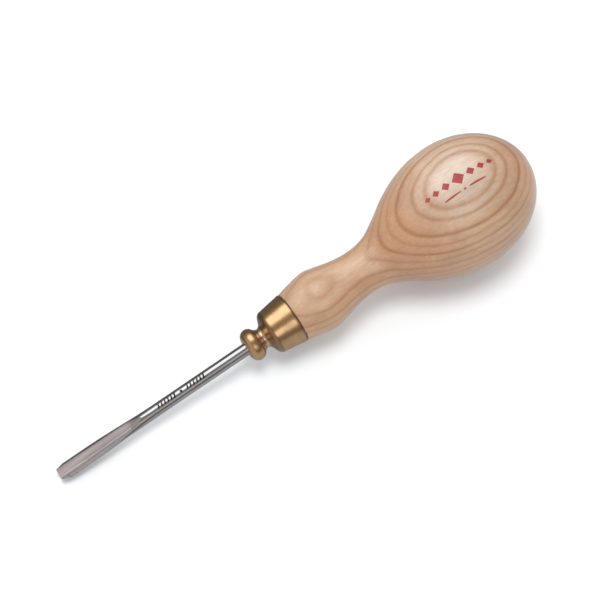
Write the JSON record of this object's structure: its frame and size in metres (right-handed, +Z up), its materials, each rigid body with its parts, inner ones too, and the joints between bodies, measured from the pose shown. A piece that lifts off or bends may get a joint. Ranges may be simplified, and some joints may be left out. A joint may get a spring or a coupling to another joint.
{
  "type": "v parting tool",
  "caption": "Palm-grip woodcarving tool: a round steel bar forged into an open V at its cutting end, held by a turned brass ferrule in a bulb-shaped turned ash handle.",
  "frame": {"origin": "on the bench under the middle of the tool: the middle of the bounding box in X and Y, and its lowest point in Z", "axes": "+X from the cutting edge towards the butt, +Y to the right of the tool as seen from the butt with the flute up, +Z up. The tool lies at rest on the belly of its handle and the keel of its V, so its own axis rises 6.9 degrees towards the butt"},
  "size_m": [0.1746, 0.0414, 0.0415],
  "materials": {
    "tool_steel": "drawn bar polished on the shank, satin ground faces in the flute",
    "ferrule_brass": "turned and polished, slightly toned",
    "lacquered_ash": "sanded smooth under a satin clear lacquer",
    "cured_epoxy": "amber, cured clear adhesive"
  },
  "bodies": {
    "root": {"blade": "tool_steel", "ferrule": "ferrule_brass", "handle": "lacquered_ash", "tang_epoxy": "cured_epoxy"}
  },
  "joints": []
}
